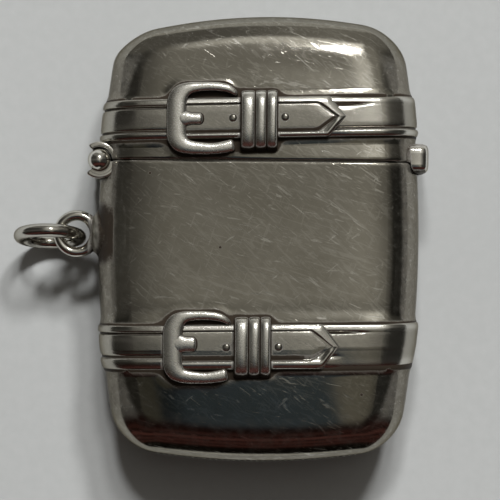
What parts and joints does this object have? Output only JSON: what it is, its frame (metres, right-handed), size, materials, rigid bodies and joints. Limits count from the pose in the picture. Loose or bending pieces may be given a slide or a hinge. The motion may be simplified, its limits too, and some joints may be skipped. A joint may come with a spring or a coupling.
{
  "type": "vesta case",
  "caption": "Pocket match case shaped as a trunk with two buckled straps; side-hinged lid, ribbed striker on the base and a hanging ring on the side.",
  "frame": {"origin": "middle of the lower strap's back face, on which the case lies", "axes": "+X across the case, away from the hinge; +Y from the base to the lid; +Z out of the front"},
  "size_m": [0.0432, 0.0463, 0.0118],
  "materials": {
    "silver_shell": "polished silver with fine scratches and light tarnish",
    "silver_strap": "worn silver relief with dark tarnish in the grooves",
    "silver_fitting": "polished silver, bright on the worn edges",
    "silver_ring": "satin silver, darkened at the solder"
  },
  "bodies": {
    "body": {"body_front": "silver_shell", "body_back": "silver_shell", "mouth_rim": "silver_shell", "striker": "silver_strap", "strap_lower": "silver_strap", "strap_lower_end": "silver_strap", "stud_lower_inner": "silver_strap", "stud_lower_outer": "silver_strap", "buckle_lower": "silver_fitting", "prong_lower": "silver_fitting", "keeper_lower": "silver_fitting", "hinge_leaf_body": "silver_fitting", "hinge_pin": "silver_fitting", "loop_seat": "silver_ring", "loop": "silver_ring"},
    "lid": {"lid_front": "silver_shell", "lid_back": "silver_shell", "strap_upper": "silver_strap", "strap_upper_end": "silver_strap", "stud_upper_inner": "silver_strap", "stud_upper_outer": "silver_strap", "buckle_upper": "silver_fitting", "prong_upper": "silver_fitting", "keeper_upper": "silver_fitting", "hinge_leaf_lid": "silver_fitting", "thumbpiece": "silver_fitting"},
    "ring": {"jump_ring": "silver_ring"}
  },
  "joints": [
    {"name": "lid_hinge", "type": "hinge", "parent": "body", "child": "lid", "pos_m": [-0.01638, 0.01895, 0.0054], "axis": [0, 0, 1], "range_deg": [0, 95]},
    {"name": "ring_swing", "type": "hinge", "parent": "body", "child": "ring", "pos_m": [-0.02082, 0.0114, 0.0054], "axis": [0, 0.9799, -0.1994], "range_deg": [-20, 126]}
  ]
}
